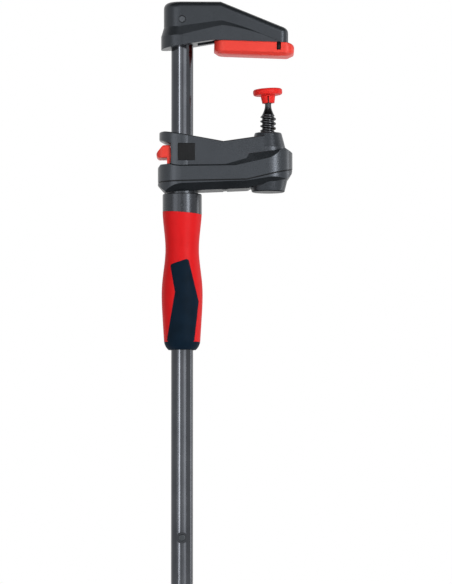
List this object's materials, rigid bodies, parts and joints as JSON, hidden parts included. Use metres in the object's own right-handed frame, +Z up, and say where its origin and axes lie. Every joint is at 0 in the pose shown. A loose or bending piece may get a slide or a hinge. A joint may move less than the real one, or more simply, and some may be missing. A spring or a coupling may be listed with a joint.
{
  "type": "bar clamp",
  "caption": "Bar clamp with a grooved steel rail, fixed arm, sliding arm with release button, and a handle round the rail that drives the spindle through gears.",
  "frame": {"origin": "centre of the rail's lower end face", "axes": "+Z up along the rail towards the fixed arm, +X from the rail towards the jaws' tips, +Y to the side"},
  "size_m": [0.0961, 0.034, 0.4067],
  "materials": {
    "rail_steel": "dark burnished drawn steel",
    "arm_plastic": "fine-grained dark grey moulding",
    "collar_plastic": "satin dark grey moulding",
    "red_plastic": "satin red moulding",
    "soft_grip": "soft blue-black overmould",
    "badge_black": "plain black tile",
    "spindle_steel": "black oxide steel",
    "gear_steel": "sintered steel",
    "pin_steel": "dark steel",
    "nut_brass": "turned brass"
  },
  "bodies": {
    "frame": {"rail": "rail_steel", "fixed_arm": "arm_plastic", "arm_pin": "pin_steel", "jaw_pad": "red_plastic", "stop_pin": "pin_steel"},
    "slider": {"slider_housing": "arm_plastic", "slider_cover": "arm_plastic", "cover_screws": "pin_steel", "badge_tile": "badge_black", "idler_axle_a": "pin_steel", "idler_axle_b": "pin_steel", "thrust_washers": "pin_steel", "spindle_nut": "nut_brass", "button_spring": "pin_steel"},
    "handle": {"handle_collar": "collar_plastic", "drive_gear": "gear_steel", "handle_clip": "pin_steel", "grip_core": "red_plastic", "grip_inlay": "soft_grip", "collar_pin": "pin_steel"},
    "idler_a": {"idler_gear_a": "gear_steel"},
    "idler_b": {"idler_gear_b": "gear_steel"},
    "spindle_drive": {"spindle_gear": "gear_steel"},
    "spindle": {"spindle": "spindle_steel"},
    "pressure_plate": {"pressure_plate": "red_plastic"},
    "release_button": {"release_button": "red_plastic"},
    "lock_plate": {"lock_plate": "gear_steel"}
  },
  "joints": [
    {"name": "arm_slide", "type": "slide", "parent": "frame", "child": "slider", "axis": [0, 0, 1], "range_m": [-0.128, 0.0165]},
    {"name": "handle_turn", "type": "hinge", "parent": "slider", "child": "handle", "pos_m": [0, 0, 0.28], "axis": [0, 0, 1], "range_deg": [-1745.46, 327.27]},
    {"name": "idler_a_turn", "type": "hinge", "parent": "slider", "child": "idler_a", "pos_m": [0.021, 0, 0.287], "axis": [0, 0, 1], "range_deg": [-437.36, 2328.27]},
    {"name": "idler_b_turn", "type": "hinge", "parent": "slider", "child": "idler_b", "pos_m": [0.039, 0, 0.287], "axis": [0, 0, 1], "range_deg": [-2328.27, 437.36]},
    {"name": "spindle_gear_turn", "type": "hinge", "parent": "slider", "child": "spindle_drive", "pos_m": [0.06, 0, 0.287], "axis": [0, 0, 1], "range_deg": [-328.27, 1746.46]},
    {"name": "spindle_feed", "type": "slide", "parent": "spindle_drive", "child": "spindle", "axis": [0, 0, 1], "range_m": [-0.01602, 0.00302]},
    {"name": "plate_tilt", "type": "hinge", "parent": "spindle", "child": "pressure_plate", "pos_m": [0.06, 0, 0.3394], "axis": [0, 1, 0], "range_deg": [-4.3, 11.7]},
    {"name": "button_press", "type": "slide", "parent": "slider", "child": "release_button", "axis": [1, 0, 0], "range_m": [0, 0.0025], "stiffness_N_per_m": 1500, "springref_m": -0.002, "deforming": ["button_spring"]},
    {"name": "lock_tilt", "type": "hinge", "parent": "slider", "child": "lock_plate", "pos_m": [0.0135, 0, 0.3024], "axis": [0, 1, 0], "range_deg": [0, 2.01]}
  ],
  "couplings": [
    {"joint": "idler_a_turn", "follows": "handle_turn", "ratio": -1.3333},
    {"joint": "idler_b_turn", "follows": "handle_turn", "ratio": 1.3333},
    {"joint": "spindle_gear_turn", "follows": "handle_turn", "ratio": -1},
    {"joint": "spindle_feed", "follows": "handle_turn", "m_per_rad": 0.00052521},
    {"joint": "lock_tilt", "follows": "button_press", "rad_per_m": 13.963}
  ]
}
